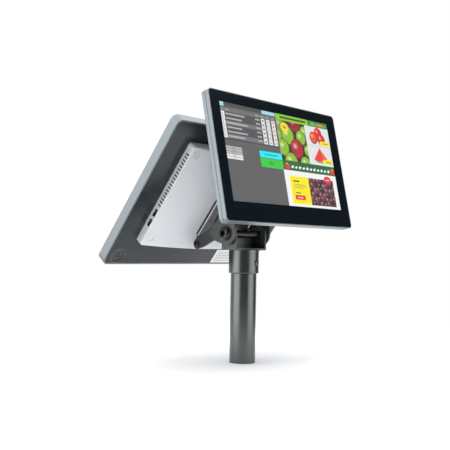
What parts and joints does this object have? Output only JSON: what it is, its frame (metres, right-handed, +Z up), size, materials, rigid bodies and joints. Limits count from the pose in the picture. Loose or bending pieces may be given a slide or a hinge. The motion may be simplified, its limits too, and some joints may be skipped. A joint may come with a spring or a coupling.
{
  "type": "dual screen point of sale terminal",
  "caption": "Touch terminal and customer display, back to back on brackets that tilt on one hinge bolt, on a yoke and swivelling collar at the top of a round pole.",
  "frame": {"origin": "centre of the pole's lower end", "axes": "+Z up the pole, X along the tilt hinge, -Y towards the customer and +Y towards the operator"},
  "size_m": [0.344, 0.2443, 0.395],
  "materials": {
    "powder_coat": "satin fine-texture powder coat",
    "arm_paint": "dull dark paint",
    "black_bolt": "black oxide steel",
    "clamp_screw": "bronze-coloured plated steel",
    "plain_steel": "zinc plated",
    "nylon": "black nylon",
    "rubber_pad": "matt",
    "white_housing": "fine-grained moulded plastic",
    "dark_cover": "glossy moulded plastic",
    "silver_band": "silver paint on moulded plastic",
    "cover_glass": "polished",
    "lcd": "polarising film",
    "steel_sheet": "galvanised sheet",
    "circuit_board": "green solder mask",
    "alloy": "extruded",
    "black_plastic": "moulded",
    "label": "printed film, left blank"
  },
  "bodies": {
    "pole": {"pole_tube": "powder_coat"},
    "head": {"collar": "powder_coat", "clamp_screws": "clamp_screw", "yoke": "powder_coat", "hinge_bolt": "black_bolt", "friction_washers": "nylon", "hinge_nut": "black_bolt"},
    "arms": {"arm_left": "arm_paint", "arm_right": "arm_paint", "arm_cross_bar": "arm_paint", "pivot_bolts": "black_bolt", "pivot_nuts": "plain_steel"},
    "terminal": {"main_channel": "powder_coat", "channel_pad": "rubber_pad", "channel_screws": "black_bolt", "rear_housing": "white_housing", "screw_caps": "white_housing", "back_cover": "dark_cover", "corner_plugs": "dark_cover", "bezel_band": "silver_band", "touch_glass": "cover_glass", "lcd_cell": "lcd", "backlight_unit": "black_plastic", "chassis_plate": "steel_sheet", "main_board": "circuit_board", "heat_sink": "alloy", "memory_module": "circuit_board", "solid_state_drive": "black_plastic", "touch_controller": "circuit_board", "side_ports": "plain_steel", "port_tongues": "black_plastic", "usb_board": "circuit_board", "bottom_ports": "plain_steel", "speakers": "black_plastic", "rating_label": "label", "power_switch": "circuit_board"},
    "power_button": {"power_button": "black_plastic"},
    "customer_display": {"gusset_left": "powder_coat", "gusset_right": "powder_coat", "bracket_web": "powder_coat", "display_plate": "powder_coat", "plate_screws": "black_bolt", "customer_rear_shell": "silver_band", "customer_socket": "black_plastic", "customer_bezel": "silver_band", "customer_glass": "cover_glass", "customer_lcd_cell": "lcd", "customer_backlight": "black_plastic", "customer_board": "circuit_board"}
  },
  "joints": [
    {"name": "head_swivel", "type": "hinge", "parent": "pole", "child": "head", "pos_m": [0, 0, 0.155], "axis": [0, 0, 1], "continuous": true},
    {"name": "arm_tilt", "type": "hinge", "parent": "head", "child": "arms", "pos_m": [0, 0, 0.1976], "axis": [1, 0, 0], "range_deg": [-30, 3]},
    {"name": "terminal_tilt", "type": "hinge", "parent": "arms", "child": "terminal", "pos_m": [0, 0.0646, 0.1815], "axis": [1, 0, 0], "range_deg": [-15, 3]},
    {"name": "customer_tilt", "type": "hinge", "parent": "head", "child": "customer_display", "pos_m": [0, 0, 0.1976], "axis": [1, 0, 0], "range_deg": [-3, 30]},
    {"name": "power_press", "type": "slide", "parent": "terminal", "child": "power_button", "axis": [-1, 0, 0], "range_m": [0, 0.001], "stiffness_N_per_m": 300, "springref_m": -0.002}
  ]
}
